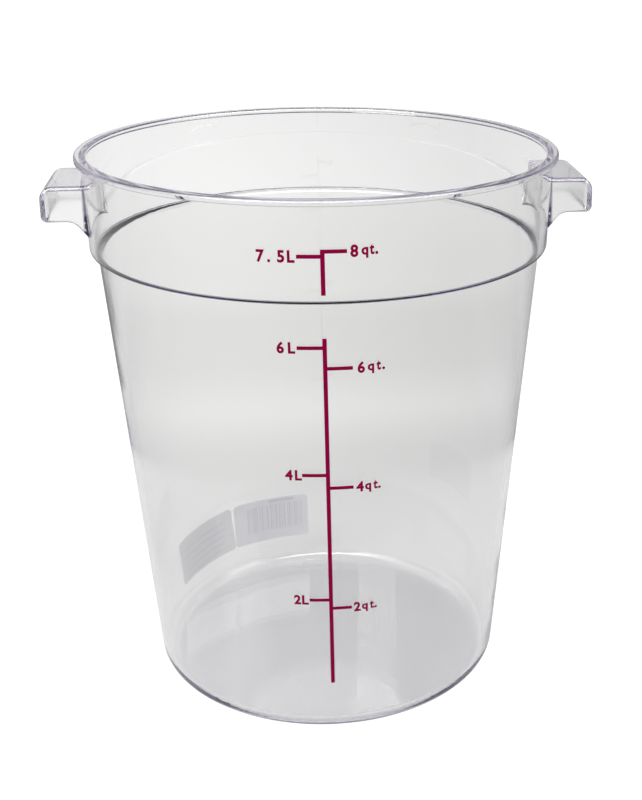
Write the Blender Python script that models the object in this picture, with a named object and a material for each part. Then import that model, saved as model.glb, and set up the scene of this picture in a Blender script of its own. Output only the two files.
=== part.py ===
"""Round clear food storage container.

One moulded tub carries a stepped collar, a lip and two hollow side handles. A volume scale in
litres and quarts is printed on its front, and two paper labels are stuck on the back.

Metres, +Z up. The origin is the centre of the base, and the handles lie along X. The front,
with the scale, faces -Y.
"""

import bmesh
import bpy
from math import atan2, cos, pi, radians, sin, sqrt, tan
from mathutils import Vector

# Tub: the outside
HEIGHT = 0.275
BASE_RADIUS = 0.0915            # where the wall would meet the ground with no rounding
BODY_TOP_RADIUS = 0.1079
COLLAR_HEIGHT = 0.045           # from the step up to the top of the lip
STEP_LEDGE = 0.0036             # how far the collar stands out over the body
COLLAR_FLARE = 0.0008
LIP_OVERHANG = 0.0028
LIP_THICKNESS = 0.0026
BASE_ROUNDING = 0.010
EDGE_ROUNDING = 0.0011          # at the lip and inside the collar
COLLAR_ROUNDING = 0.0032        # where the collar's lower edge turns in to the step
LEDGE_THICKNESS = 0.0018        # of the step inside the collar
LEDGE_ROUNDING = 0.0028         # where the step turns down into the body
LEDGE_CORNER = 0.0006           # where it meets the collar
LIP_FOOT_ROUNDING = 0.0003

# Tub: the moulding's walls
WALL = 0.0028
FLOOR_THICKNESS = 0.0032
FLOOR_ROUNDING = 0.0072         # inside, between floor and wall
FOOT_RECESS = 0.0005            # the floor stands clear of the table inside the foot ring
FOOT_WIDTH = 0.009
FOOT_SLOPE = 0.012              # over which the ring's flat runs up into the recess

# Handles: two hollow ears, open underneath for the fingers
HANDLE_REACH = 0.0152           # past the lip
HANDLE_DROP = 0.0128            # from the top of the lip to the top of the handle
HANDLE_DEPTH = 0.0161
HANDLE_WIDTH = 0.0448           # at its top
HANDLE_SPREAD = 0.0025          # how far each side leans out from top to bottom
HANDLE_WALL = 0.0020
HANDLE_TOP_ROUNDING = 0.006
HANDLE_FOOT_ROUNDING = 0.003
GUSSET_REACH = 0.0067           # each side runs down to the collar in a slant, from this far out
GUSSET_DROP = 0.0077
GUSSET_ROUNDING = 0.007

# Films on the outside of the wall
FILM_GAP = 0.0003
INK_THICKNESS = 0.0003
LABEL_THICKNESS = 0.0003
FILM_STEP = 0.003               # a film turns round the wall in flats no wider than this

# Printed scale. Zero is straight towards -Y, and the angle grows towards +X.
SCALE_ANGLE = radians(-2.4)
SCALE_LEAN = radians(1.0)       # the print runs this much further round at the base
LINE_WIDTH = 0.0019
TICK_WIDTH = 0.0015
TICK_LENGTH = 0.012
LETTER_HEIGHT = 0.0049
LETTER_PITCH = 0.004
LITRE_GAP = 0.0020              # from a tick's end to the middle of its first letter
QUART_GAP = 0.0032
QUART_LETTERS_LIFT = 0.0008     # the letters after a quart number stand this much higher
LETTER_NARROWING_share = 0.94
LETTER_WEIGHT_share = 0.030     # added to each side of a stroke, in the font's own unit
LETTER_MERGE_share = 0.0025     # points of a character nearer than this are one, also in that unit

# Where the printed line starts and stops, as shares of the wall that carries it
UPPER_LINE_FOOT_share = 0.102
LOWER_LINE_TOP_share = 0.931
LOWER_LINE_FOOT_share = 0.134

# Labels. The angle is counted as for the scale, to the gap between the two.
LABEL_ANGLE = radians(214.9)
LABEL_GAP = 0.0015
LABEL_WIDTH = 0.0493
LABEL_HEIGHT = 0.027
LABEL_CORNER = 0.0015
LEFT_LABEL_LIFT = 0.0302        # to the label's middle
RIGHT_LABEL_LIFT = 0.0315
LEFT_LABEL_TILT = radians(-4.2)
RIGHT_LABEL_TILT = radians(1.0)

# Counts
TURN_SIDES = 96
BASE_STEPS = 5
EDGE_STEPS = 2
HANDLE_STEPS = 5
LETTER_STEPS = 3

# Each mark: name, wall, its height as a share of that wall, side of the line (-1 litres,
# 1 quarts), its tick as a share of TICK_LENGTH, and its characters with their places as shares
# of LETTER_PITCH, counted outwards. The heights are those at which the tub
# at these sizes holds the printed volumes.
MARK_shares = [
    ("7_5L", "collar", 0.473, -1, 0.90, (("L", 0.05), ("5", 1.09), (".", 2.35), ("7", 3.24))),
    ("8qt", "collar", 0.520, 1, 0.85, (("8", -0.05), ("q", 1.05), ("t", 1.80), (".", 2.30))),
    ("6L", "body", 0.912, -1, 1.00, (("L", 0.05), ("6", 1.27))),
    ("6qt", "body", 0.870, 1, 1.00, (("6", 0.11), ("q", 1.18), ("t", 2.05), (".", 2.61))),
    ("4L", "body", 0.642, -1, 0.97, (("L", -0.08), ("4", 1.00))),
    ("4qt", "body", 0.613, 1, 0.96, (("4", -0.05), ("q", 0.88), ("t", 1.75), (".", 2.21))),
    ("2L", "body", 0.348, -1, 0.85, (("L", 0.0), ("2", 0.93))),
    ("2qt", "body", 0.327, 1, 0.83, (("2", -0.16), ("q", 0.76), ("t", 1.62), (".", 2.08))),
]
CHARACTER_NAMES = {".": "dot"}

# Width and height of the letters after a quart number, against a figure's
QUART_LETTER_shares = {"q": (0.88, 0.90), "t": (0.76, 1.00)}

# Places that follow from the sizes above
step_height = HEIGHT - COLLAR_HEIGHT
collar_foot_radius = BODY_TOP_RADIUS + STEP_LEDGE
collar_top_radius = collar_foot_radius + COLLAR_FLARE
lip_radius = collar_top_radius + LIP_OVERHANG
lip_foot = HEIGHT - LIP_THICKNESS
floor_top = FOOT_RECESS + FLOOR_THICKNESS
ledge_top = step_height + LEDGE_THICKNESS
core_radius = collar_foot_radius - WALL / 2
handle_top = HEIGHT - HANDLE_DROP
handle_foot = handle_top - HANDLE_DEPTH
handle_end = lip_radius + HANDLE_REACH
handle_root = sqrt(core_radius ** 2 - (HANDLE_WIDTH / 2) ** 2)
handle_foot_width = HANDLE_WIDTH + 2 * HANDLE_SPREAD
gusset_end = sqrt(collar_foot_radius ** 2 - (handle_foot_width / 2) ** 2) + GUSSET_REACH


def body_radius(height):
    """Outer radius of the tapered wall below the step."""
    return BASE_RADIUS + (BODY_TOP_RADIUS - BASE_RADIUS) * height / step_height


def collar_radius(height):
    """Outer radius of the collar above the step."""
    return collar_foot_radius + COLLAR_FLARE * (height - step_height) / (lip_foot - step_height)


def wall_radius(height):
    """Outer radius of whichever wall is at this height."""
    return body_radius(height) if height < step_height else collar_radius(height)


def wall_height(wall, share):
    """Height of a place given as a share of the body's or the collar's height."""
    return share * step_height if wall == "body" else step_height + share * COLLAR_HEIGHT


def scale_angle(height):
    """Where round the wall the printed line runs at this height."""
    return SCALE_ANGLE + SCALE_LEAN * (1 - height / HEIGHT)


def rounded(corners, steps):
    """Outline through the corners (x, y, rounding), each rounding drawn as an arc."""
    outline = []
    count = len(corners)
    for index, (x, y, rounding) in enumerate(corners):
        corner = Vector((x, y))
        if rounding == 0:
            outline.append(corner)
            continue
        before = (Vector(corners[index - 1][:2]) - corner).normalized()
        after = (Vector(corners[(index + 1) % count][:2]) - corner).normalized()
        half = before.angle(after) / 2
        centre = corner + (before + after).normalized() * rounding / sin(half)
        first = corner + before * rounding / tan(half) - centre
        last = corner + after * rounding / tan(half) - centre
        start = atan2(first.y, first.x)
        sweep = (atan2(last.y, last.x) - start + pi) % (2 * pi) - pi
        arc_steps = steps if rounding > EDGE_ROUNDING else EDGE_STEPS
        for step in range(arc_steps + 1):
            angle = start + sweep * step / arc_steps
            outline.append(centre + rounding * Vector((cos(angle), sin(angle))))
    return outline


def make_material(name, colour, roughness, transmission=0.0):
    material = bpy.data.materials.new(name)
    material.use_nodes = True
    shader = material.node_tree.nodes["Principled BSDF"]
    shader.inputs["Base Color"].default_value = (*colour, 1.0)
    shader.inputs["Roughness"].default_value = roughness
    shader.inputs["Metallic"].default_value = 0.0
    shader.inputs["Transmission Weight"].default_value = transmission
    return material


def make_object(name, mesh_builder, material=None):
    """Object from a bmesh, shaded smooth except at its sharp edges."""
    mesh = bpy.data.meshes.new(name)
    mesh_builder.to_mesh(mesh)
    mesh_builder.free()
    mesh.shade_smooth()
    mesh.set_sharp_from_angle(angle=radians(30))
    if material:
        mesh.materials.append(material)
    made = bpy.data.objects.new(name, mesh)
    bpy.context.scene.collection.objects.link(made)
    return made


def make_guide(name, mesh_builder):
    """Shape that only cuts or joins another one."""
    guide = make_object(name, mesh_builder)
    guide.hide_render = True
    guide.display_type = "WIRE"
    return guide


def add_boolean(target, operation, tool):
    modifier = target.modifiers.new(f"{operation.lower()}_{tool.name}", "BOOLEAN")
    modifier.operation = operation
    modifier.solver = "EXACT"
    modifier.object = tool


def turned(outline):
    """Closed body turned round Z from an outline that starts and ends on the axis."""
    body = bmesh.new()
    rings = []
    for x, z in outline:
        if x == 0:
            rings.append([body.verts.new((0, 0, z))] * (TURN_SIDES + 1))
            continue
        ring = []
        for side in range(TURN_SIDES):
            angle = 2 * pi * side / TURN_SIDES
            ring.append(body.verts.new((x * cos(angle), x * sin(angle), z)))
        rings.append(ring + ring[:1])
    for low, high in zip(rings, rings[1:]):
        for side in range(TURN_SIDES):
            corners = [low[side], low[side + 1], high[side + 1], high[side]]
            body.faces.new(list(dict.fromkeys(corners)))
    return body


def tub_outline():
    """Half section of the tub: out along the foot, up outside, over the lip, down inside."""
    foot_inner = BASE_RADIUS - BASE_ROUNDING - FOOT_WIDTH
    corners = [
        (0, FOOT_RECESS, 0),
        (foot_inner - FOOT_SLOPE, FOOT_RECESS, 0),
        (foot_inner, 0, 0),
        (BASE_RADIUS, 0, BASE_ROUNDING),
        (BODY_TOP_RADIUS, step_height, 0),
        (collar_foot_radius, step_height, COLLAR_ROUNDING),
        (collar_top_radius, lip_foot, 0),
        (lip_radius, lip_foot, LIP_FOOT_ROUNDING),
        (lip_radius, HEIGHT, EDGE_ROUNDING),
        (collar_top_radius - WALL, HEIGHT, EDGE_ROUNDING),
        (collar_radius(ledge_top) - WALL, ledge_top, LEDGE_CORNER),
        (body_radius(ledge_top) - WALL, ledge_top, LEDGE_ROUNDING),
        (body_radius(floor_top) - WALL, floor_top, FLOOR_ROUNDING),
        (0, floor_top, 0),
    ]
    return rounded(corners, BASE_STEPS)


def handle_side(height, inset):
    """Half the handle's width at this height, less a wall."""
    lean = HANDLE_SPREAD * (handle_top - height) / HANDLE_DEPTH
    return HANDLE_WIDTH / 2 + lean - inset


def drafted(outline, inset):
    """Closed body from a side view in X and Z, its two sides leaning out downwards."""
    body = bmesh.new()
    near = [body.verts.new((x, -handle_side(z, inset), z)) for x, z in outline]
    far = [body.verts.new((x, handle_side(z, inset), z)) for x, z in outline]
    body.faces.new(near)
    body.faces.new(list(reversed(far)))
    count = len(outline)
    for index in range(count):
        after = (index + 1) % count
        body.faces.new([near[after], near[index], far[index], far[after]])
    bmesh.ops.recalc_face_normals(body, faces=body.faces)
    return body


def handle_outline():
    """Side view of a handle, from its root out along the bottom and back along the top."""
    inner_end = handle_root - 2 * WALL
    slant_foot = handle_foot - (gusset_end - inner_end) * GUSSET_DROP / GUSSET_REACH
    return rounded([
        (inner_end, slant_foot, 0),
        (gusset_end, handle_foot, GUSSET_ROUNDING),
        (handle_end, handle_foot, HANDLE_FOOT_ROUNDING),
        (handle_end, handle_top, HANDLE_TOP_ROUNDING),
        (inner_end, handle_top, 0),
    ], HANDLE_STEPS)


def finger_space_outline():
    """Side view of the space inside a handle, which stays open underneath."""
    space_foot = handle_foot - 3 * GUSSET_DROP
    space_end = handle_end - HANDLE_WALL
    space_top = handle_top - HANDLE_WALL
    return rounded([
        (handle_root - 3 * WALL, space_foot, 0),
        (space_end, space_foot, 0),
        (space_end, space_top, HANDLE_TOP_ROUNDING - HANDLE_WALL),
        (handle_root - 3 * WALL, space_top, 0),
    ], HANDLE_STEPS)


def collar_core_outline():
    """Plug that ends the handles in the middle of the collar's wall."""
    return [
        Vector((0, step_height - HANDLE_DEPTH)),
        Vector((core_radius, step_height - HANDLE_DEPTH)),
        Vector((core_radius, HEIGHT)),
        Vector((0, HEIGHT)),
    ]


def make_tub(material):
    tub = make_object("tub", turned(tub_outline()), material)
    core = make_guide("collar_core", turned(collar_core_outline()))
    finger_space = make_guide("finger_space", drafted(finger_space_outline(), HANDLE_WALL))
    for name, turn in (("right_handle", 0), ("left_handle", pi)):
        space = finger_space.copy()
        space.name = f"{name}_space"
        bpy.context.scene.collection.objects.link(space)
        space.rotation_euler.z = turn
        handle = make_guide(name, drafted(handle_outline(), 0))
        handle.rotation_euler.z = turn
        add_boolean(handle, "DIFFERENCE", space)
        add_boolean(handle, "DIFFERENCE", core)
        add_boolean(tub, "UNION", handle)
    bpy.data.objects.remove(finger_space)
    return tub


def film(name, points, faces, angle_at, thickness, material):
    """Closed film on the outside of the wall from a flat drawing.

    The drawing's points are (distance round the wall, height), its faces run anticlockwise, and
    angle_at says where round the wall the distance is counted from at each height.
    """
    body = bmesh.new()

    def place(point, lift):
        radius = wall_radius(point[1])
        angle = angle_at(point[1]) + point[0] / radius
        reach = radius + lift
        return body.verts.new((reach * sin(angle), -reach * cos(angle), point[1]))

    back = [place(point, FILM_GAP) for point in points]
    front = [place(point, FILM_GAP + thickness) for point in points]
    drawn_edges = set()
    for face in faces:
        body.faces.new([front[index] for index in face])
        body.faces.new([back[index] for index in reversed(face)])
        drawn_edges.update(zip(face, face[1:] + face[:1]))
    for start, end in drawn_edges:
        if (end, start) not in drawn_edges:
            body.faces.new([front[end], front[start], back[start], back[end]])
    return make_object(name, body, material)


def grid_drawing(rectangles, across):
    """Points and faces of a drawing made of rectangles (left, right, low, high).

    The faces lie on one grid, whose upright lines are the rectangles' sides and the ones in
    across, so neighbouring rectangles join.
    """
    sides = {side for left, right, _, _ in rectangles for side in (left, right)}
    columns = sorted(sides | set(across))
    rows = sorted({side for _, _, low, high in rectangles for side in (low, high)})
    points = []
    numbers = {}
    faces = []

    def number(column, row):
        if (column, row) not in numbers:
            numbers[(column, row)] = len(points)
            points.append((columns[column], rows[row]))
        return numbers[(column, row)]

    for column in range(len(columns) - 1):
        middle = (columns[column] + columns[column + 1]) / 2
        for row in range(len(rows) - 1):
            height = (rows[row] + rows[row + 1]) / 2
            if any(left < middle < right and low < height < high
                   for left, right, low, high in rectangles):
                faces.append([number(column, row), number(column + 1, row),
                              number(column + 1, row + 1), number(column, row + 1)])
    return points, faces


def make_scale_line(name, wall, foot, top, material):
    """Printed line on one wall, with the ticks of that wall's marks, as one island of ink."""
    rectangles = [(-LINE_WIDTH / 2, LINE_WIDTH / 2, foot, top)]
    across = set()
    for _, mark_wall, share, side, tick_share, _ in MARK_shares:
        if mark_wall != wall:
            continue
        height = wall_height(wall, share)
        end = side * TICK_LENGTH * tick_share
        rectangles.append((min(0, end), max(0, end), height - TICK_WIDTH / 2, height + TICK_WIDTH / 2))
        flats = int(TICK_LENGTH / FILM_STEP)
        across.update(side * TICK_LENGTH * flat / flats for flat in range(1, flats))
    points, faces = grid_drawing(rectangles, across)
    film(name, points, faces, scale_angle, INK_THICKNESS, material)


def embolden(flat):
    """Moves the outline of a flat drawing, whose faces run anticlockwise, outwards all round."""
    moves = []
    for vert in flat.verts:
        outward = []
        for edge in vert.link_edges:
            if edge.is_boundary:
                loop = edge.link_loops[0]
                along = loop.link_loop_next.vert.co - loop.vert.co
                outward.append(Vector((along.y, -along.x, 0)).normalized())
        first, second = outward
        moves.append((first + second) * LETTER_WEIGHT_share / (1 + first.dot(second)))
    for vert, move in zip(flat.verts, moves):
        vert.co += move


def character_drawing(character):
    """Points and faces of a character in the built-in font, in the font's own unit."""
    text = bpy.data.curves.new("character", "FONT")
    text.body = character
    text.resolution_u = LETTER_STEPS
    holder = bpy.data.objects.new("character", text)
    bpy.context.scene.collection.objects.link(holder)
    shown = holder.evaluated_get(bpy.context.evaluated_depsgraph_get())
    flat = bmesh.new()
    flat.from_mesh(shown.to_mesh())
    shown.to_mesh_clear()
    bpy.data.objects.remove(holder)
    bpy.data.curves.remove(text)
    bmesh.ops.remove_doubles(flat, verts=flat.verts, dist=LETTER_MERGE_share)
    bmesh.ops.recalc_face_normals(flat, faces=flat.faces)
    widest = max(flat.faces, key=lambda face: face.calc_area())
    if widest.normal.z < 0:
        bmesh.ops.reverse_faces(flat, faces=flat.faces)
    embolden(flat)
    inner_edges = [edge for edge in flat.edges if not edge.is_boundary]
    bmesh.ops.delete(flat, geom=inner_edges, context="EDGES_FACES")
    bmesh.ops.triangle_fill(flat, edges=flat.edges, use_beauty=True, normal=(0, 0, 1))
    bmesh.ops.beautify_fill(flat, faces=flat.faces, edges=flat.edges)
    flat.verts.index_update()
    points = [tuple(vert.co.xy) for vert in flat.verts]
    faces = [[vert.index for vert in face.verts] for face in flat.faces]
    flat.free()
    return points, faces


def make_characters(material):
    capital, _ = character_drawing("L")
    baseline = min(y for _, y in capital)
    capital_height = max(y for _, y in capital) - baseline
    for mark_name, wall, share, side, tick_share, characters in MARK_shares:
        middle = wall_height(wall, share)
        gap = LITRE_GAP if side < 0 else QUART_GAP
        first = TICK_LENGTH * tick_share + gap
        letters_lift = QUART_LETTERS_LIFT if side > 0 else 0
        for character, place_share in characters:
            points, faces = character_drawing(character)
            left = min(x for x, _ in points)
            centre = (left + max(x for x, _ in points)) / 2
            width_share, height_share = QUART_LETTER_shares.get(character, (1, 1))
            tall = LETTER_HEIGHT / capital_height * height_share
            wide = LETTER_HEIGHT / capital_height * width_share * LETTER_NARROWING_share
            across = side * (first + LETTER_PITCH * place_share)
            foot = middle - LETTER_HEIGHT / 2
            if not character.isdigit():
                foot += letters_lift
            placed = [(across + (x - centre) * wide, foot + (y - baseline) * tall)
                      for x, y in points]
            name = f"mark_{mark_name}_{CHARACTER_NAMES.get(character, character)}"
            film(name, placed, faces, scale_angle, INK_THICKNESS, material)


def make_label(name, side, lift, tilt, material):
    """Paper label beside the gap: side 1 is further round than the gap, -1 is before it."""
    flats = int(LABEL_WIDTH / FILM_STEP) + 1
    inner = LABEL_WIDTH - 2 * LABEL_CORNER
    columns = [0, LABEL_CORNER] + [LABEL_CORNER + inner * flat / flats for flat in range(1, flats)]
    columns += [LABEL_WIDTH - LABEL_CORNER, LABEL_WIDTH]
    drawn = []
    faces = []
    for index, column in enumerate(columns):
        cut = LABEL_CORNER if index in (0, len(columns) - 1) else 0
        drawn.append((column, cut))
        drawn.append((column, LABEL_HEIGHT - cut))
        if index:
            faces.append([2 * index - 2, 2 * index, 2 * index + 1, 2 * index - 1])
    middle = side * (LABEL_GAP + LABEL_WIDTH) / 2
    points = []
    for x, y in drawn:
        x -= LABEL_WIDTH / 2
        y -= LABEL_HEIGHT / 2
        points.append((middle + x * cos(tilt) - y * sin(tilt), lift + x * sin(tilt) + y * cos(tilt)))
    film(name, points, faces, lambda height: LABEL_ANGLE, LABEL_THICKNESS, material)


def main():
    for leftover in list(bpy.data.objects):
        bpy.data.objects.remove(leftover)

    clear_plastic = make_material("clear_plastic", (0.84, 0.85, 0.90), 0.04, transmission=1.0)
    scale_ink = make_material("scale_ink", (0.29, 0.0, 0.07), 0.45)
    label_paper = make_material("label_paper", (0.62, 0.64, 0.70), 0.75)

    make_tub(clear_plastic)
    top_mark_share = max(share for _, wall, share, *_ in MARK_shares if wall == "collar")
    make_scale_line("scale_line_upper", "collar", wall_height("collar", UPPER_LINE_FOOT_share),
                    wall_height("collar", top_mark_share) + TICK_WIDTH / 2, scale_ink)
    make_scale_line("scale_line_lower", "body", wall_height("body", LOWER_LINE_FOOT_share),
                    wall_height("body", LOWER_LINE_TOP_share), scale_ink)
    make_characters(scale_ink)
    make_label("label_left", 1, LEFT_LABEL_LIFT, LEFT_LABEL_TILT, label_paper)
    make_label("label_right", -1, RIGHT_LABEL_LIFT, RIGHT_LABEL_TILT, label_paper)


main()
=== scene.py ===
"""Looks for the round clear food storage container.

A fine clear tub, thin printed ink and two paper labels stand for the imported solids, on a plain
white floor under soft studio light. Metres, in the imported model's frame: handles along X, the
printed scale facing -Y.
"""

from math import atan2, cos, pi, radians, sin, sqrt, tan

import bmesh
import bpy
from mathutils import Matrix, Vector


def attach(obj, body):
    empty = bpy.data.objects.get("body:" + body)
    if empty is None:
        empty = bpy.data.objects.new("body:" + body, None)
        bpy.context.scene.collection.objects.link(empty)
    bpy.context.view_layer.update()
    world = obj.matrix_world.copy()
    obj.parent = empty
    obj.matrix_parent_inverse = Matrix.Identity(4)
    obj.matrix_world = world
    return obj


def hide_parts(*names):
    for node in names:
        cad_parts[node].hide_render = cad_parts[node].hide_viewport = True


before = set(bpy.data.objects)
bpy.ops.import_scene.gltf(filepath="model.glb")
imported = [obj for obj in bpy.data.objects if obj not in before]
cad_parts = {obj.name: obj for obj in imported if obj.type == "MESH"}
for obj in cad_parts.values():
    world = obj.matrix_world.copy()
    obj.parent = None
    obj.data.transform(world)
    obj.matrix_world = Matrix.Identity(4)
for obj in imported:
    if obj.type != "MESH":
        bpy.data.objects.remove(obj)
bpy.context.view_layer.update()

# Tub: the outside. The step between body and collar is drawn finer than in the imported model.
HEIGHT = 0.275
BASE_RADIUS = 0.0915            # where the wall would meet the ground with no rounding
BODY_TOP_RADIUS = 0.1079
COLLAR_HEIGHT = 0.045           # from the step up to the top of the lip
STEP_LEDGE = 0.0036             # how far the collar stands out over the body
COLLAR_FLARE = 0.0008
LIP_OVERHANG = 0.0028
LIP_THICKNESS = 0.0026
BASE_ROUNDING = 0.010
EDGE_ROUNDING = 0.0011          # at the lip
FOLD_RISE = 0.0004              # the collar's foot stands this much above the step
FOLD_CORNER = 0.0003            # in the inward corners under the collar and the lip
COLLAR_ROUNDING = 0.0010        # where the collar turns in to the step
LEDGE_THICKNESS = 0.0007        # of the step inside the collar
LEDGE_ROUNDING = 0.0026         # where the step turns down into the body
LEDGE_CORNER = 0.0004           # where it meets the collar
LIP_FOOT_ROUNDING = 0.0003

# Tub: the moulding's walls
WALL = 0.0028
FLOOR_THICKNESS = 0.0032
FLOOR_ROUNDING = 0.0072         # inside, between floor and wall
FOOT_RECESS = 0.0005            # the floor stands clear of the table inside the foot ring
FOOT_WIDTH = 0.009
FOOT_SLOPE = 0.012              # over which the ring's flat runs up into the recess

# Handles: two hollow ears, open underneath for the fingers
HANDLE_REACH = 0.0152           # past the lip
HANDLE_DROP = 0.0128            # from the top of the lip to the top of the handle
HANDLE_DEPTH = 0.0161
HANDLE_WIDTH = 0.0448           # at its top
HANDLE_SPREAD = 0.0025          # how far each side leans out from top to bottom
HANDLE_WALL = 0.0020
HANDLE_TOP_ROUNDING = 0.006
HANDLE_FOOT_ROUNDING = 0.003
HANDLE_EDGE = 0.0014            # rounding of a handle's long edges
GUSSET_REACH = 0.0067           # each side runs down to the collar in a slant, from this far out
GUSSET_DROP = 0.0077
GUSSET_ROUNDING = 0.007

# The hollow of a handle
SPACE_CORNER = 0.0024           # rounding of its corners, seen from above
SPACE_ROOT_CORNER = 0.0005      # the same next to the collar
SPACE_EDGE = 0.0020             # rounding along its ceiling
SPACE_LINING = 0.0001           # plastic that covers the collar inside it
SPACE_ROOT_shares = (0.6, 0.3, 0, -0.3, -0.6)   # of half its width: points along the collar
SPACE_ROUGHNESS = 0.22          # of its walls
CEILING_ROUGHNESS = 0.06
RIM_ROUGHNESS = 0.5             # of the narrow faces on which a handle ends below
RIM_MARGIN = 0.0003             # at their edges, which stay bright

# Films on the outside of the wall. They lie close on it here.
INK_GAP = 0.00002
INK_THICKNESS = 0.00005
LABEL_THICKNESS = 0.00010
FILM_STEP = 0.0008              # a film turns round the wall in flats no wider than this

# Printed scale. Zero is straight towards -Y, and the angle grows towards +X.
SCALE_ANGLE = radians(-2.4)
SCALE_LEAN = radians(1.0)       # the print runs this much further round at the base
LINE_WIDTH = 0.0019
TICK_WIDTH = 0.0017
TICK_LENGTH = 0.012
LETTER_HEIGHT = 0.0053
LETTER_PITCH = 0.004
LITRE_GAP = 0.0020              # from a tick's end to the middle of its first letter
QUART_GAP = 0.0032
QUART_LETTERS_LIFT = 0.0008     # the letters after a quart number stand this much higher
LETTER_NARROWING_share = 0.94
LETTER_WEIGHT_share = 0.039     # added to each side of a stroke, in the font's own unit
LETTER_MERGE_share = 0.0025     # points of a character nearer than this are one, also in that unit

# Where the printed line starts and stops, as shares of the wall that carries it
UPPER_LINE_FOOT_share = 0.102
LOWER_LINE_TOP_share = 0.931
LOWER_LINE_FOOT_share = 0.134

# Each mark: name, wall, its height as a share of that wall, side of the line (-1 litres,
# 1 quarts), its tick as a share of TICK_LENGTH, and its characters with their places as shares
# of LETTER_PITCH, counted outwards
MARK_shares = [
    ("7_5L", "collar", 0.473, -1, 0.90, (("L", 0.05), ("5", 1.09), (".", 2.35), ("7", 3.24))),
    ("8qt", "collar", 0.520, 1, 0.85, (("8", -0.05), ("q", 1.05), ("t", 1.80), (".", 2.30))),
    ("6L", "body", 0.912, -1, 1.00, (("L", 0.05), ("6", 1.27))),
    ("6qt", "body", 0.870, 1, 1.00, (("6", 0.11), ("q", 1.18), ("t", 2.05), (".", 2.61))),
    ("4L", "body", 0.642, -1, 0.97, (("L", -0.08), ("4", 1.00))),
    ("4qt", "body", 0.613, 1, 0.96, (("4", -0.05), ("q", 0.88), ("t", 1.75), (".", 2.21))),
    ("2L", "body", 0.348, -1, 0.85, (("L", 0.0), ("2", 0.93))),
    ("2qt", "body", 0.327, 1, 0.83, (("2", -0.16), ("q", 0.76), ("t", 1.62), (".", 2.08))),
]
CHARACTER_NAMES = {".": "dot"}

# Width and height of the letters after a quart number, against a figure's
QUART_LETTER_shares = {"q": (0.92, 0.88), "t": (0.77, 0.96)}

# Labels. The angle is counted as for the scale, to the gap between the two.
LABEL_ANGLE = radians(214.9)
LABEL_GAP = 0.0015
LABEL_WIDTH = 0.0493
LABEL_HEIGHT = 0.027
LABEL_CORNER = 0.0015           # cut off slantwise
LEFT_LABEL_LIFT = 0.0302        # to the label's middle
RIGHT_LABEL_LIFT = 0.0315
LEFT_LABEL_TILT = radians(-4.2)
RIGHT_LABEL_TILT = radians(1.0)

# Faint print on the labels: how dark it is, and where, from the gap between them and from the
# right label's middle up. The lines' heights are counted from the ground. An edge is the stretch
# of the pattern over which its print sets in.
BARS_PER_METRE = 900.0
BARS_EDGE = (0.44, 0.54)
BARS_DEPTH = 0.22
BARS_ACROSS = (-0.046, -0.010)
BARS_UP = (-0.0070, 0.0095)
HEADER_DEPTH = 0.26
HEADER_ACROSS = (-0.041, -0.025)
HEADER_UP = (0.0105, 0.0125)
LINES_DEPTH = 0.09
LINES_ACROSS = (0.008, 0.046)
LINES_UP = (0.018, 0.040)
LINES_EDGE = (0.0, 0.6)
LINE_PITCH = 0.0042
LINE_SLANT = 0.10

# Clear plastic
PLASTIC_COLOUR = (0.965, 0.97, 0.955, 1)
SHADOW_COLOUR = (0.97, 0.97, 0.975, 1)  # what it leaves of the lamps' light
DEPTH_COLOUR = (0.56, 0.46, 0.72, 1)    # what it leaves of light that runs along inside it
DEPTH_DENSITY = 12.0
REFRACTION = 1.585
WAVES_PER_METRE = 26.0
WAVES_STRENGTH = 0.25
WAVES_DEPTH = 0.0003
RUBS_PER_METRE = 9.0
RUBS_STRETCH = (0.35, 0.75)     # of the noise, from no rub to a full one
RUBS_ROUGHNESS = 0.012

# Ink and paper. Each varies between two colours.
INK_COLOURS = ((0.22, 0.0, 0.036, 1), (0.27, 0.0, 0.052, 1))
INK_PATCHES_PER_METRE = 900.0
INK_ROUGHNESS = (0.5, 0.7)
INK_SHINE = 0.03
PAPER_COLOURS = ((0.96, 0.96, 0.975, 1), (0.99, 0.99, 1.0, 1))
PAPER_ROUGHNESS = 0.8
PRINT_COLOUR = (0.30, 0.30, 0.36, 1)
FIBRES_PER_METRE = 700.0
FIBRES_STRENGTH = 0.2
FIBRES_DEPTH = 0.00005

# Floor. A glow is light of its own and a white is the share of the lamps' light it sends back,
# each for the rays named: straight from the camera, or seen in or through the plastic.
FLOOR_REACH = 9.0
FLOOR_DROP = 0.0003
CAMERA_GLOW = 0.85
CAMERA_WHITE = 0.34
SEEN_GLOW = 0.50
SEEN_WHITE = 0.50
PLAIN_WHITE = 0.85
MIRRORED_FLOOR = 0.45           # share of the glow that shows in reflections
UNDER_REACH = 0.29              # full there too, this near the tub
UNDER_FADE = 0.06

# Painted light and shade on the floor, which shows only in and through the plastic and so paints
# the tub lighter or darker: further glows added to the seen one, lighter far off and to the left,
# darker to the right, in the middle and near. Each runs over a stretch of Y from none to all of it.
# The slant is X against Y, both from the point under the camera.
FAR_GLOW = 0.08
FAR_STRETCH = (0.70, 1.15)
LEFT_GLOW = 0.02
RIGHT_GLOW = -0.12
SLANT_STRETCH = (-0.05, 0.20)
SIDES_STRETCH = (0.10, 0.30)
SIDES_NEAR_share = 0.3
MIDDLE_GLOW = -0.09
MIDDLE_FAR_STRETCH = (0.70, 0.56)
MIDDLE_NEAR_STRETCH = (0.32, 0.46)
NEAR_GLOW = -0.14
NEAR_STRETCH = (0.36, 0.24)
UNDER_CAMERA_X = -0.03
UNDER_CAMERA_Y = -0.63
LEAST_AWAY = 0.2

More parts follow.
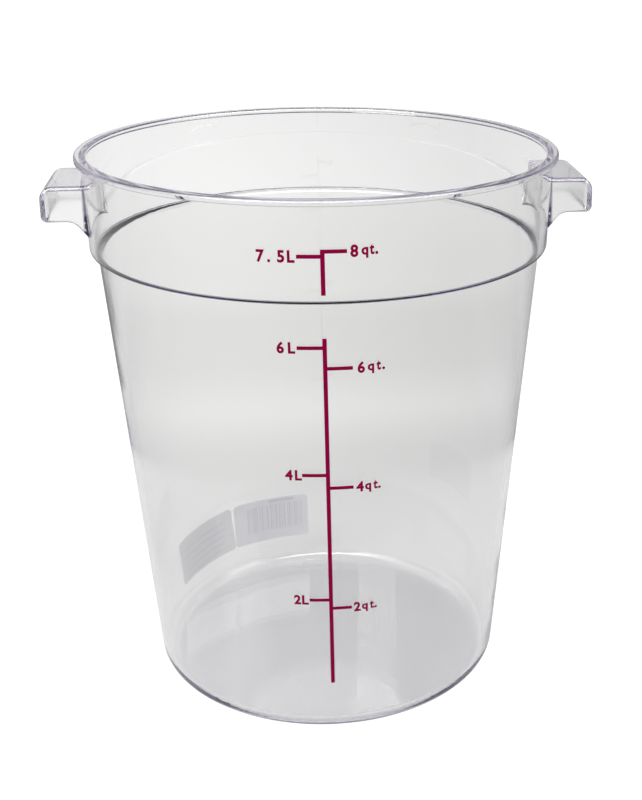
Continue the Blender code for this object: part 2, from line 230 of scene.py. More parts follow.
# Studio in the world. Heights are the upward share of a direction, from 0 to 1.
ROOM_LIGHT = 0.65
SKY_DARK = (0.050, 0.042, 0.075)
THROUGH_STRETCH = (0.05, 0.25)
PANEL_STRETCH = (0.45, 0.65)
PANEL_LEFT = 0.8
PANEL_RIGHT = 0.45
PANEL_SIDES = (-0.3, 0.4)
SOFTBOX = 8.0
SOFTBOX_FOOT = (0.30, 0.40)
SOFTBOX_HEAD = (0.93, 0.97)
SOFTBOX_FRONT = (-0.25, -0.35)
LAMP_AIM = (0, 0, 0.12)

# Camera, fitted to the photo
CAMERA_PLACE = (-0.02943, -0.62865, 0.39426)
CAMERA_HEADING = radians(6.292)
CAMERA_DIP = radians(24.655)
CAMERA_ROLL = radians(0.356)
LENS_mm = 58.085
SENSOR_mm = 36
LENS_SHIFT_share = (-0.0973, 0.0822)
NEAREST_SEEN = 0.01

# Counts and limits
TURN_SIDES = 384
BASE_STEPS = 16
EDGE_STEPS = 8
HANDLE_STEPS = 14
HANDLE_EDGE_STEPS = 5
SPACE_EDGE_STEPS = 6
LETTER_STEPS = 3
SHARP_ANGLE = radians(30)
NORMAL_WEIGHT = 100             # above 50, a point's shading follows its widest faces more
WELD = 0.000002                 # points of the joined tub nearer than this are one
BOUNCES = 64                    # light runs a long way inside clear plastic

# Places that follow from the sizes above
step_height = HEIGHT - COLLAR_HEIGHT
collar_foot_radius = BODY_TOP_RADIUS + STEP_LEDGE
collar_top_radius = collar_foot_radius + COLLAR_FLARE
lip_radius = collar_top_radius + LIP_OVERHANG
lip_foot = HEIGHT - LIP_THICKNESS
floor_top = FOOT_RECESS + FLOOR_THICKNESS
fold_height = step_height + FOLD_RISE
ledge_top = fold_height + LEDGE_THICKNESS
core_radius = collar_foot_radius - WALL / 2
handle_top = HEIGHT - HANDLE_DROP
handle_foot = handle_top - HANDLE_DEPTH
handle_end = lip_radius + HANDLE_REACH
handle_root = sqrt(core_radius ** 2 - (HANDLE_WIDTH / 2) ** 2)
handle_foot_width = HANDLE_WIDTH + 2 * HANDLE_SPREAD
gusset_end = sqrt(collar_foot_radius ** 2 - (handle_foot_width / 2) ** 2) + GUSSET_REACH


def body_radius(height):
    """Outer radius of the tapered wall below the step."""
    return BASE_RADIUS + (BODY_TOP_RADIUS - BASE_RADIUS) * height / step_height


def collar_radius(height):
    """Outer radius of the wall above the step."""
    return collar_foot_radius + COLLAR_FLARE * (height - step_height) / (lip_foot - step_height)


def wall_radius(height):
    """Outer radius of the wall on either side of the step."""
    return body_radius(height) if height < step_height else collar_radius(height)


def wall_height(wall, share):
    """Height of a place given as a share of the body or the collar."""
    return share * step_height if wall == "body" else step_height + share * COLLAR_HEIGHT


def scale_angle(height):
    """Angle of the printed line round the wall."""
    return SCALE_ANGLE + SCALE_LEAN * (1 - height / HEIGHT)


def rounded(corners, steps):
    """Outline through the corners (x, y, rounding), each rounding drawn as an arc."""
    outline = []
    count = len(corners)
    for index, (x, y, rounding) in enumerate(corners):
        corner = Vector((x, y))
        if rounding == 0:
            outline.append(corner)
            continue
        before = (Vector(corners[index - 1][:2]) - corner).normalized()
        after = (Vector(corners[(index + 1) % count][:2]) - corner).normalized()
        half = before.angle(after) / 2
        centre = corner + (before + after).normalized() * rounding / sin(half)
        first = corner + before * rounding / tan(half) - centre
        last = corner + after * rounding / tan(half) - centre
        start = atan2(first.y, first.x)
        sweep = (atan2(last.y, last.x) - start + pi) % (2 * pi) - pi
        arc_steps = steps if rounding > EDGE_ROUNDING else EDGE_STEPS
        for step in range(arc_steps + 1):
            angle = start + sweep * step / arc_steps
            outline.append(centre + rounding * Vector((cos(angle), sin(angle))))
    return outline


def make_object(name, builder, material=None):
    """Object from a finished bmesh, smooth except at its sharp edges."""
    mesh = bpy.data.meshes.new(name)
    builder.to_mesh(mesh)
    builder.free()
    mesh.shade_smooth()
    mesh.set_sharp_from_angle(angle=SHARP_ANGLE)
    if material:
        mesh.materials.append(material)
    made = bpy.data.objects.new(name, mesh)
    bpy.context.scene.collection.objects.link(made)
    return made


# Tub
def turned(outline):
    """Closed body from an outline in X and Z that starts and ends on the axis."""
    body = bmesh.new()
    rings = []
    for x, z in outline:
        if x == 0:
            rings.append([body.verts.new((0, 0, z))] * (TURN_SIDES + 1))
            continue
        ring = []
        for side in range(TURN_SIDES):
            angle = 2 * pi * side / TURN_SIDES
            ring.append(body.verts.new((x * cos(angle), x * sin(angle), z)))
        rings.append(ring + ring[:1])
    for low, high in zip(rings, rings[1:]):
        for side in range(TURN_SIDES):
            corners = [low[side], low[side + 1], high[side + 1], high[side]]
            body.faces.new(list(dict.fromkeys(corners)))
    return body


def tub_outline():
    """The moulding from the side: from the axis out along the underside, up the outside, over
    the lip, down the inside and back to the axis along the floor."""
    foot_inner = BASE_RADIUS - BASE_ROUNDING - FOOT_WIDTH
    return rounded([
        (0, FOOT_RECESS, 0),
        (foot_inner - FOOT_SLOPE, FOOT_RECESS, 0),
        (foot_inner, 0, 0),
        (BASE_RADIUS, 0, BASE_ROUNDING),
        (body_radius(fold_height), fold_height, FOLD_CORNER),
        (collar_radius(fold_height), fold_height, COLLAR_ROUNDING),
        (collar_top_radius, lip_foot, FOLD_CORNER),
        (lip_radius, lip_foot, LIP_FOOT_ROUNDING),
        (lip_radius, HEIGHT, EDGE_ROUNDING),
        (collar_top_radius - WALL, HEIGHT, EDGE_ROUNDING),
        (collar_radius(ledge_top) - WALL, ledge_top, LEDGE_CORNER),
        (body_radius(ledge_top) - WALL, ledge_top, LEDGE_ROUNDING),
        (body_radius(floor_top) - WALL, floor_top, FLOOR_ROUNDING),
        (0, floor_top, 0),
    ], BASE_STEPS)


def handle_side(height, inset=0):
    """Half the handle's width at a height, less an inset."""
    lean = HANDLE_SPREAD * (handle_top - height) / HANDLE_DEPTH
    return HANDLE_WIDTH / 2 + lean - inset


def handle_outline():
    """A handle from the side, with the slant that its gusset webs follow."""
    inner_end = handle_root - 2 * WALL
    slant_foot = handle_foot - (gusset_end - inner_end) * GUSSET_DROP / GUSSET_REACH
    return rounded([
        (inner_end, slant_foot, 0),
        (gusset_end, handle_foot, GUSSET_ROUNDING),
        (handle_end, handle_foot, HANDLE_FOOT_ROUNDING),
        (handle_end, handle_top, HANDLE_TOP_ROUNDING),
        (inner_end, handle_top, 0),
    ], HANDLE_STEPS)


def handle_body():
    """Solid handle, its two sides leaning out and its rims rounded."""
    outline = handle_outline()
    body = bmesh.new()
    near = [body.verts.new((x, -handle_side(z), z)) for x, z in outline]
    far = [body.verts.new((x, handle_side(z), z)) for x, z in outline]
    sides = [body.faces.new(near), body.faces.new(list(reversed(far)))]
    count = len(outline)
    for index in range(count):
        after = (index + 1) % count
        body.faces.new([near[after], near[index], far[index], far[after]])
    bmesh.ops.recalc_face_normals(body, faces=body.faces)
    rims = [rim for side in sides for rim in side.edges]
    bmesh.ops.bevel(body, geom=rims, offset=HANDLE_EDGE, segments=HANDLE_EDGE_STEPS,
                    profile=0.5, affect="EDGES", clamp_overlap=True)
    return body


def finger_space():
    """Hollow of a handle: a plan with rounded corners, from under the handle up to its top."""
    space_foot = handle_foot - 3 * GUSSET_DROP
    space_end = handle_end - HANDLE_WALL
    space_top = handle_top - HANDLE_WALL
    half = HANDLE_WIDTH / 2 - HANDLE_WALL

    def root(y):
        return sqrt((collar_top_radius + SPACE_LINING) ** 2 - y ** 2)

    corners = [
        (root(half), -half, SPACE_ROOT_CORNER),
        (space_end, -half, SPACE_CORNER),
        (space_end, half, SPACE_CORNER),
        (root(half), half, SPACE_ROOT_CORNER),
    ]
    corners += [(root(half * share), half * share, 0) for share in SPACE_ROOT_shares]
    plan = rounded(corners, HANDLE_STEPS)
    body = bmesh.new()
    rings = []
    for z in (space_foot, space_top):
        spread = handle_side(z, HANDLE_WALL) / half
        rings.append([body.verts.new((x, y * spread, z)) for x, y in plan])
    low, high = rings
    body.faces.new(list(reversed(low)))
    lid = body.faces.new(high)
    for index in range(len(plan)):
        after = (index + 1) % len(plan)
        body.faces.new([low[index], low[after], high[after], high[index]])
    bmesh.ops.recalc_face_normals(body, faces=body.faces)
    bmesh.ops.bevel(body, geom=list(lid.edges), offset=SPACE_EDGE, segments=SPACE_EDGE_STEPS,
                    profile=0.5, affect="EDGES", clamp_overlap=True)
    return body


def collar_core_outline():
    """Cylinder that the handles are cut back to. Its side runs inside the collar's wall."""
    return [
        Vector((0, step_height - HANDLE_DEPTH)),
        Vector((core_radius, step_height - HANDLE_DEPTH)),
        Vector((core_radius, HEIGHT)),
        Vector((0, HEIGHT)),
    ]


def add_boolean(target, operation, tool):
    modifier = target.modifiers.new(operation.lower(), "BOOLEAN")
    modifier.operation = operation
    modifier.solver = "EXACT"
    modifier.object = tool


def clean(mesh):
    """Weld points that the Booleans left a hair apart and take out faces that lie on each other."""
    body = bmesh.new()
    body.from_mesh(mesh)
    bmesh.ops.triangulate(body, faces=body.faces)
    bmesh.ops.remove_doubles(body, verts=body.verts, dist=WELD)
    bmesh.ops.dissolve_degenerate(body, edges=body.edges, dist=WELD)
    alike = {}
    for face in body.faces:
        alike.setdefault(frozenset(face.verts), []).append(face)
    spare = [face for faces in alike.values() if len(faces) > 1 for face in faces]
    bmesh.ops.delete(body, geom=spare, context="FACES")
    body.to_mesh(mesh)
    body.free()


def make_tub(material):
    """One clear moulding: the turned tub with its two handles joined on."""
    tub = make_object("clear_tub", turned(tub_outline()), material)
    core = make_object("core", turned(collar_core_outline()))
    guides = [core]
    for turn in (0, pi):
        space = make_object("space", finger_space())
        handle = make_object("handle", handle_body())
        for piece in (space, handle):
            piece.rotation_euler.z = turn
        add_boolean(handle, "DIFFERENCE", space)
        add_boolean(handle, "DIFFERENCE", core)
        add_boolean(tub, "UNION", handle)
        guides += [space, handle]
    shown = tub.evaluated_get(bpy.context.evaluated_depsgraph_get())
    joined = bpy.data.meshes.new_from_object(shown)
    joined.name = "clear_tub_mesh"
    clean(joined)
    tub.modifiers.clear()
    tub.data = joined
    joined.materials.clear()
    joined.materials.append(material)
    joined.shade_smooth()
    joined.set_sharp_from_angle(angle=SHARP_ANGLE)
    for guide in guides:
        bpy.data.objects.remove(guide)
    smoother = tub.modifiers.new("weighted_normals", "WEIGHTED_NORMAL")
    smoother.keep_sharp = True
    smoother.weight = NORMAL_WEIGHT
    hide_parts("tub")
    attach(tub, "root")


# Ink and labels
def film(name, points, faces, angle_at, thickness, material, replaced):
    """Wraps a flat drawing, in metres across and up, round the wall as a thin closed film."""
    body = bmesh.new()

    def place(point, lift):
        radius = wall_radius(point[1])
        angle = angle_at(point[1]) + point[0] / radius
        reach = radius + lift
        return body.verts.new((reach * sin(angle), -reach * cos(angle), point[1]))

    back = [place(point, INK_GAP) for point in points]
    front = [place(point, INK_GAP + thickness) for point in points]
    drawn_edges = set()
    for face in faces:
        body.faces.new([front[index] for index in face])
        body.faces.new([back[index] for index in reversed(face)])
        drawn_edges.update(zip(face, face[1:] + face[:1]))
    for start, end in drawn_edges:
        if (end, start) not in drawn_edges:
            body.faces.new([front[end], front[start], back[start], back[end]])
    made = make_object(name, body, material)
    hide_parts(replaced)
    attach(made, "root")


def grid_drawing(rectangles, across):
    """Points and faces of rectangles that overlap, also split at the places across."""
    sides = {side for left, right, _, _ in rectangles for side in (left, right)}
    columns = sorted(sides | set(across))
    rows = sorted({side for _, _, low, high in rectangles for side in (low, high)})
    points = []
    numbers = {}
    faces = []

    def number(column, row):
        if (column, row) not in numbers:
            numbers[(column, row)] = len(points)
            points.append((columns[column], rows[row]))
        return numbers[(column, row)]

    for column in range(len(columns) - 1):
        middle = (columns[column] + columns[column + 1]) / 2
        for row in range(len(rows) - 1):
            height = (rows[row] + rows[row + 1]) / 2
            if any(left < middle < right and low < height < high
                   for left, right, low, high in rectangles):
                faces.append([number(column, row), number(column + 1, row),
                              number(column + 1, row + 1), number(column, row + 1)])
    return points, faces


def make_scale_line(name, wall, foot, top, material, replaced):
    """Printed line on the body or the collar, in one with its ticks."""
    rectangles = [(-LINE_WIDTH / 2, LINE_WIDTH / 2, foot, top)]
    across = {0.0}
    for _, mark_wall, share, side, tick_share, _ in MARK_shares:
        if mark_wall != wall:
            continue
        height = wall_height(wall, share)
        end = side * TICK_LENGTH * tick_share
        rectangles.append((min(0, end), max(0, end),
                           height - TICK_WIDTH / 2, height + TICK_WIDTH / 2))
        flats = int(TICK_LENGTH / FILM_STEP)
        across.update(side * TICK_LENGTH * flat / flats for flat in range(1, flats))
    points, faces = grid_drawing(rectangles, across)
    film(name, points, faces, scale_angle, INK_THICKNESS, material, replaced)


def embolden(flat):
    """Moves each edge of a character outwards, which thickens its strokes."""
    moves = []
    for vert in flat.verts:
        outward = []
        for edge in vert.link_edges:
            if edge.is_boundary:
                loop = edge.link_loops[0]
                along = loop.link_loop_next.vert.co - loop.vert.co
                outward.append(Vector((along.y, -along.x, 0)).normalized())
        first, second = outward
        moves.append((first + second) * LETTER_WEIGHT_share / (1 + first.dot(second)))
    for vert, move in zip(flat.verts, moves):
        vert.co += move


def character_drawing(character):
    """Points and triangles of a character of Blender's own font."""
    text = bpy.data.curves.new("character", "FONT")
    text.body = character
    text.resolution_u = LETTER_STEPS
    holder = bpy.data.objects.new("character", text)
    bpy.context.scene.collection.objects.link(holder)
    shown = holder.evaluated_get(bpy.context.evaluated_depsgraph_get())
    flat = bmesh.new()
    flat.from_mesh(shown.to_mesh())
    shown.to_mesh_clear()
    bpy.data.objects.remove(holder)
    bpy.data.curves.remove(text)
    bmesh.ops.remove_doubles(flat, verts=flat.verts, dist=LETTER_MERGE_share)
    bmesh.ops.recalc_face_normals(flat, faces=flat.faces)
    widest = max(flat.faces, key=lambda face: face.calc_area())
    if widest.normal.z < 0:
        bmesh.ops.reverse_faces(flat, faces=flat.faces)
    embolden(flat)
    inner_edges = [edge for edge in flat.edges if not edge.is_boundary]
    bmesh.ops.delete(flat, geom=inner_edges, context="EDGES_FACES")
    bmesh.ops.triangle_fill(flat, edges=flat.edges, use_beauty=True, normal=(0, 0, 1))
    bmesh.ops.beautify_fill(flat, faces=flat.faces, edges=flat.edges)
    flat.verts.index_update()
    points = [tuple(vert.co.xy) for vert in flat.verts]
    faces = [[vert.index for vert in face.verts] for face in flat.faces]
    flat.free()
    return points, faces


def make_characters(material):
    """Every character of every mark, each a film of its own."""
    capital, _ = character_drawing("L")
    baseline = min(y for _, y in capital)
    capital_height = max(y for _, y in capital) - baseline
    scale = LETTER_HEIGHT / capital_height
    for mark_name, wall, share, side, tick_share, characters in MARK_shares:
        foot = wall_height(wall, share) - LETTER_HEIGHT / 2
        first = TICK_LENGTH * tick_share + (LITRE_GAP if side < 0 else QUART_GAP)
        for character, place_share in characters:
            points, faces = character_drawing(character)
            left = min(x for x, _ in points)
            centre = (left + max(x for x, _ in points)) / 2
            width_share, height_share = QUART_LETTER_shares.get(character, (1, 1))
            tall = scale * height_share
            wide = scale * width_share * LETTER_NARROWING_share
            across = side * (first + LETTER_PITCH * place_share)
            lift = 0 if side < 0 or character.isdigit() else QUART_LETTERS_LIFT
            placed = [(across + (x - centre) * wide, foot + lift + (y - baseline) * tall)
                      for x, y in points]
            ending = f"{mark_name}_{CHARACTER_NAMES.get(character, character)}"
            film(f"ink_{ending}", placed, faces, scale_angle, INK_THICKNESS, material,
                 f"mark_{ending}")


def make_label(name, side, lift, tilt, material, replaced):
    """Paper label with cut corners, on one side of the gap between the two."""
    flats = int(LABEL_WIDTH / FILM_STEP)
    inner = LABEL_WIDTH - 2 * LABEL_CORNER
    columns = [0, LABEL_CORNER] + [LABEL_CORNER + inner * flat / flats for flat in range(1, flats)]
    columns += [LABEL_WIDTH - LABEL_CORNER, LABEL_WIDTH]
    drawn = []
    faces = []
    for index, column in enumerate(columns):
        cut = LABEL_CORNER if index in (0, len(columns) - 1) else 0
        drawn.append((column, cut))
        drawn.append((column, LABEL_HEIGHT - cut))
        if index:
            faces.append([2 * index - 2, 2 * index, 2 * index + 1, 2 * index - 1])
    middle = side * (LABEL_GAP + LABEL_WIDTH) / 2
    points = []
    for x, y in drawn:
        x -= LABEL_WIDTH / 2
        y -= LABEL_HEIGHT / 2
        points.append((middle + x * cos(tilt) - y * sin(tilt),
                       lift + x * sin(tilt) + y * cos(tilt)))
    film(name, points, faces, lambda height: LABEL_ANGLE, LABEL_THICKNESS, material, replaced)


# Node helpers
def new_material(name):
    material = bpy.data.materials.new(name)
    material.use_nodes = True
    tree = material.node_tree
    tree.nodes.clear()
    return material, tree


def node(tree, kind, **values):
    """New node, its properties and inputs set by name."""
    made = tree.nodes.new(kind)
    for name, value in values.items():
        if hasattr(made, name):
            setattr(made, name, value)
        else:
            made.inputs[name.replace("_", " ")].default_value = value
    return made


def range_of(tree, source, first, last, low, high, interpolation="SMOOTHSTEP"):
    """Step of a value: low before first, high past last."""
    step = node(tree, "ShaderNodeMapRange", interpolation_type=interpolation)
    step.inputs["From Min"].default_value = first
    step.inputs["From Max"].default_value = last
    step.inputs["To Min"].default_value = low
    step.inputs["To Max"].default_value = high
    tree.links.new(source, step.inputs["Value"])
    return step.outputs["Result"]


def combined(tree, operation, *values):
    """Values, each a socket or a number, put together pair by pair. An operation on one value
    is given 0 after it."""
    total = values[0]
    for value in values[1:]:
        both = node(tree, "ShaderNodeMath", operation=operation)
        for index, part in enumerate((total, value)):
            if isinstance(part, (int, float)):
                both.inputs[index].default_value = part
            else:
                tree.links.new(part, both.inputs[index])
        total = both.outputs[0]
    return total


def between(tree, source, low, high):
    """1 for a value between two limits, or else 0."""
    return combined(tree, "MULTIPLY", combined(tree, "GREATER_THAN", source, low),
                    combined(tree, "LESS_THAN", source, high))


def coordinates(tree, place):
    """X, Y and Z of a place or direction."""
    parts = node(tree, "ShaderNodeSeparateXYZ")
    tree.links.new(place, parts.inputs["Vector"])
    return parts.outputs["X"], parts.outputs["Y"], parts.outputs["Z"]


def mirrored_only(tree, rays):
    """1 for a ray that the plastic mirrors. One that it bends counts as both kinds."""
    return combined(tree, "MAXIMUM", 0.0,
                    combined(tree, "SUBTRACT", rays["Is Glossy Ray"],
                             rays["Is Transmission Ray"]))


def noise(tree, place, scale, detail):
    """Noise in space, from 0 to 1."""
    made = node(tree, "ShaderNodeTexNoise", Scale=scale, Detail=detail)
    tree.links.new(place, made.inputs["Vector"])
    return made.outputs["Fac"]


def blended(tree, share, first, second):
    """Colour between two, each a socket or a fixed colour."""
    mix = node(tree, "ShaderNodeMix", data_type="RGBA")
    tree.links.new(share, mix.inputs["Factor"])
    for name, colour in (("A", first), ("B", second)):
        if isinstance(colour, tuple):
            mix.inputs[name].default_value = colour
        else:
            tree.links.new(colour, mix.inputs[name])
    return mix.outputs["Result"]


def add_bump(tree, shader, heights, strength, depth):
    bump = node(tree, "ShaderNodeBump", Strength=strength, Distance=depth)
    tree.links.new(heights, bump.inputs["Height"])
    tree.links.new(bump.outputs["Normal"], shader.inputs["Normal"])


# Materials
def handle_roughness(tree, place):
    """The mould leaves the faces inside the handles, and more so the rims below, a little matt."""
    across, along, z = coordinates(tree, place)
    x = combined(tree, "ABSOLUTE", across, 0)
    y = combined(tree, "ABSOLUTE", along, 0)
    reach = combined(tree, "SQRT", combined(tree, "ADD", combined(tree, "MULTIPLY", x, x),
                                            combined(tree, "MULTIPLY", y, y)), 0)
    beyond = combined(tree, "GREATER_THAN", reach, collar_top_radius + SPACE_LINING / 2)
    lean = combined(tree, "MULTIPLY", combined(tree, "SUBTRACT", handle_top, z),
                    HANDLE_SPREAD / HANDLE_DEPTH)
    depth = combined(tree, "SUBTRACT", combined(tree, "ADD", lean, HANDLE_WIDTH / 2), y)
    inside = combined(tree, "MULTIPLY",
                      range_of(tree, z, handle_top - HANDLE_WALL - SPACE_EDGE,
                               handle_top - HANDLE_WALL, SPACE_ROUGHNESS, CEILING_ROUGHNESS),
                      combined(tree, "LESS_THAN", x, handle_end - HANDLE_WALL / 2),
                      combined(tree, "GREATER_THAN", depth, HANDLE_WALL / 2),
                      combined(tree, "LESS_THAN", z, handle_top - HANDLE_WALL / 2))
    in_plate = combined(tree, "MULTIPLY",
                        combined(tree, "GREATER_THAN", depth, RIM_MARGIN),
                        combined(tree, "LESS_THAN", depth, HANDLE_WALL - RIM_MARGIN))
    in_end = combined(tree, "GREATER_THAN", x, handle_end - HANDLE_WALL + RIM_MARGIN)
    rim = combined(tree, "MULTIPLY", RIM_ROUGHNESS,
                   combined(tree, "MAXIMUM", in_plate, in_end),
                   combined(tree, "LESS_THAN", z, handle_foot + 2 * RIM_MARGIN))
    return combined(tree, "MULTIPLY", beyond, combined(tree, "MAXIMUM", inside, rim))


def clear_plastic_material():
    """Clear plastic that lets the lamps' light through, absorbs it towards violet along long
    ways inside, and has faint waves and rubs on its surface."""
    material, tree = new_material("clear_plastic_fine")
    link = tree.links.new
    shader = node(tree, "ShaderNodeBsdfPrincipled", Base_Color=PLASTIC_COLOUR,
                  Transmission_Weight=1.0, IOR=REFRACTION)
    place = node(tree, "ShaderNodeTexCoord").outputs["Object"]
    waves = noise(tree, place, WAVES_PER_METRE, detail=1.0)
    add_bump(tree, shader, waves, WAVES_STRENGTH, WAVES_DEPTH)
    rubs = range_of(tree, noise(tree, place, RUBS_PER_METRE, detail=4.0), *RUBS_STRETCH,
                    0.0, RUBS_ROUGHNESS, "LINEAR")
    matt = handle_roughness(tree, place)
    link(combined(tree, "ADD", rubs, matt), shader.inputs["Roughness"])
    through = node(tree, "ShaderNodeBsdfTransparent", Color=SHADOW_COLOUR)
    rays = node(tree, "ShaderNodeLightPath")
    mix = node(tree, "ShaderNodeMixShader")
    link(rays.outputs["Is Shadow Ray"], mix.inputs["Fac"])
    link(shader.outputs["BSDF"], mix.inputs[1])
    link(through.outputs["BSDF"], mix.inputs[2])
    out = node(tree, "ShaderNodeOutputMaterial")
    link(mix.outputs["Shader"], out.inputs["Surface"])
    absorb = node(tree, "ShaderNodeVolumeAbsorption", Color=DEPTH_COLOUR, Density=DEPTH_DENSITY)
    link(absorb.outputs["Volume"], out.inputs["Volume"])
    return material


def ink_material():
    """Magenta ink, printed a little unevenly."""
    material, tree = new_material("scale_ink_fine")
    link = tree.links.new
    shader = node(tree, "ShaderNodeBsdfPrincipled", Specular_IOR_Level=INK_SHINE)
    place = node(tree, "ShaderNodeTexCoord").outputs["Object"]
    cover = noise(tree, place, INK_PATCHES_PER_METRE, detail=2.0)
    link(blended(tree, cover, *INK_COLOURS), shader.inputs["Base Color"])
    rough = range_of(tree, cover, 0.0, 1.0, *INK_ROUGHNESS, "LINEAR")
    link(rough, shader.inputs["Roughness"])
    out = node(tree, "ShaderNodeOutputMaterial")
    link(shader.outputs["BSDF"], out.inputs["Surface"])
    return material


def faint_print(tree, place):
    """Plain bars on the right label and slanting lines on the left one, seen through the paper."""
    x, y, z = coordinates(tree, place)
    turn = combined(tree, "ARCTAN2", x, combined(tree, "MULTIPLY", y, -1))
    across = combined(tree, "MULTIPLY", combined(tree, "SUBTRACT", turn, LABEL_ANGLE - 2 * pi),
                      wall_radius(RIGHT_LABEL_LIFT))
    up = combined(tree, "SUBTRACT", z, RIGHT_LABEL_LIFT)
    bars = node(tree, "ShaderNodeTexNoise", noise_dimensions="1D", Scale=BARS_PER_METRE,
                Detail=1.0)
    tree.links.new(across, bars.inputs["W"])
    barred = combined(tree, "MULTIPLY",
                      range_of(tree, bars.outputs["Fac"], *BARS_EDGE, 0.0, 1.0),
                      between(tree, across, *BARS_ACROSS), between(tree, up, *BARS_UP))
    header = combined(tree, "MULTIPLY", between(tree, across, *HEADER_ACROSS),
                      between(tree, up, *HEADER_UP))
    slanted = combined(tree, "ADD", z, combined(tree, "MULTIPLY", across, LINE_SLANT))
    lines = combined(tree, "SINE", combined(tree, "MULTIPLY", slanted, 2 * pi / LINE_PITCH), 0)
    lined = combined(tree, "MULTIPLY", range_of(tree, lines, *LINES_EDGE, 0.0, 1.0),
                     between(tree, across, *LINES_ACROSS), between(tree, slanted, *LINES_UP))
    return combined(tree, "ADD", combined(tree, "MULTIPLY", barred, BARS_DEPTH),
                    combined(tree, "MULTIPLY", header, HEADER_DEPTH),
                    combined(tree, "MULTIPLY", lined, LINES_DEPTH))


def label_material():
    """White paper with fine fibres and faint print."""
    material, tree = new_material("label_paper_fine")
    link = tree.links.new
    shader = node(tree, "ShaderNodeBsdfPrincipled", Roughness=PAPER_ROUGHNESS)
    place = node(tree, "ShaderNodeTexCoord").outputs["Object"]
    fibres = noise(tree, place, FIBRES_PER_METRE, detail=3.0)
    paper = blended(tree, fibres, *PAPER_COLOURS)
    printed = blended(tree, faint_print(tree, place), paper, PRINT_COLOUR)
    link(printed, shader.inputs["Base Color"])
    add_bump(tree, shader, fibres, FIBRES_STRENGTH, FIBRES_DEPTH)
    out = node(tree, "ShaderNodeOutputMaterial")
    link(shader.outputs["BSDF"], out.inputs["Surface"])
    return material


# Stage
def make_floor():
    """White floor. The camera sees it brighter than the plastic does, so it stays white there."""
    body = bmesh.new()
    body.faces.new([body.verts.new((x * FLOOR_REACH, y * FLOOR_REACH, -FLOOR_DROP))
                    for x, y in ((-1, -1), (1, -1), (1, 1), (-1, 1))])
    material, tree = new_material("white_floor")
    link = tree.links.new
    rays = node(tree, "ShaderNodeLightPath").outputs
    place = node(tree, "ShaderNodeTexCoord")
    x, y, _ = coordinates(tree, place.outputs["Object"])
    away = combined(tree, "MAXIMUM", combined(tree, "ADD", y, -UNDER_CAMERA_Y), LEAST_AWAY)
    slant = combined(tree, "DIVIDE", combined(tree, "ADD", x, -UNDER_CAMERA_X), away)
    apart = combined(tree, "ADD", combined(tree, "MULTIPLY", x, x),
                     combined(tree, "MULTIPLY", y, y))
    under = range_of(tree, apart, UNDER_REACH ** 2, (UNDER_REACH + UNDER_FADE) ** 2, 1.0, 0.0)
    seen = combined(tree, "ADD", rays["Is Transmission Ray"],
                    combined(tree, "MULTIPLY", mirrored_only(tree, rays),
                             combined(tree, "MAXIMUM", under, MIRRORED_FLOOR)))
    # Painted light and shade, seen only in and through the plastic: lighter far off and to the
    # left, darker to the right, in the middle and near
    far = range_of(tree, y, *FAR_STRETCH, 0.0, FAR_GLOW)
    sides = combined(tree, "MULTIPLY",
                     range_of(tree, slant, *SLANT_STRETCH, LEFT_GLOW, RIGHT_GLOW),
                     range_of(tree, y, *SIDES_STRETCH, SIDES_NEAR_share, 1.0))
    middle = combined(tree, "MULTIPLY",
                      range_of(tree, y, *MIDDLE_FAR_STRETCH, 0.0, MIDDLE_GLOW),
                      range_of(tree, y, *MIDDLE_NEAR_STRETCH, 0.0, 1.0))
    near = range_of(tree, y, *NEAR_STRETCH, 0.0, NEAR_GLOW)
    seen_glow = combined(tree, "ADD", far, sides, middle, near, SEEN_GLOW)
    glow = node(tree, "ShaderNodeEmission")
    link(combined(tree, "ADD", combined(tree, "MULTIPLY", rays["Is Camera Ray"], CAMERA_GLOW),
                  combined(tree, "MULTIPLY", seen, seen_glow)),
         glow.inputs["Strength"])
    others = combined(tree, "SUBTRACT", 1.0,
                      combined(tree, "MAXIMUM", rays["Is Glossy Ray"],
                               rays["Is Transmission Ray"], rays["Is Camera Ray"]))
    whiteness = combined(tree, "ADD",
                         combined(tree, "MULTIPLY", seen, SEEN_WHITE),
                         combined(tree, "MULTIPLY", rays["Is Camera Ray"], CAMERA_WHITE),
                         combined(tree, "MULTIPLY", others, PLAIN_WHITE))
    grey = node(tree, "ShaderNodeCombineColor")
    for name in ("Red", "Green", "Blue"):
        link(whiteness, grey.inputs[name])
    lit = node(tree, "ShaderNodeBsdfDiffuse")
    link(grey.outputs["Color"], lit.inputs["Color"])
    both = node(tree, "ShaderNodeAddShader")
    link(lit.outputs["BSDF"], both.inputs[0])
    link(glow.outputs["Emission"], both.inputs[1])
    out = node(tree, "ShaderNodeOutputMaterial")
    link(both.outputs["Shader"], out.inputs["Surface"])
    make_object("floor", body, material)


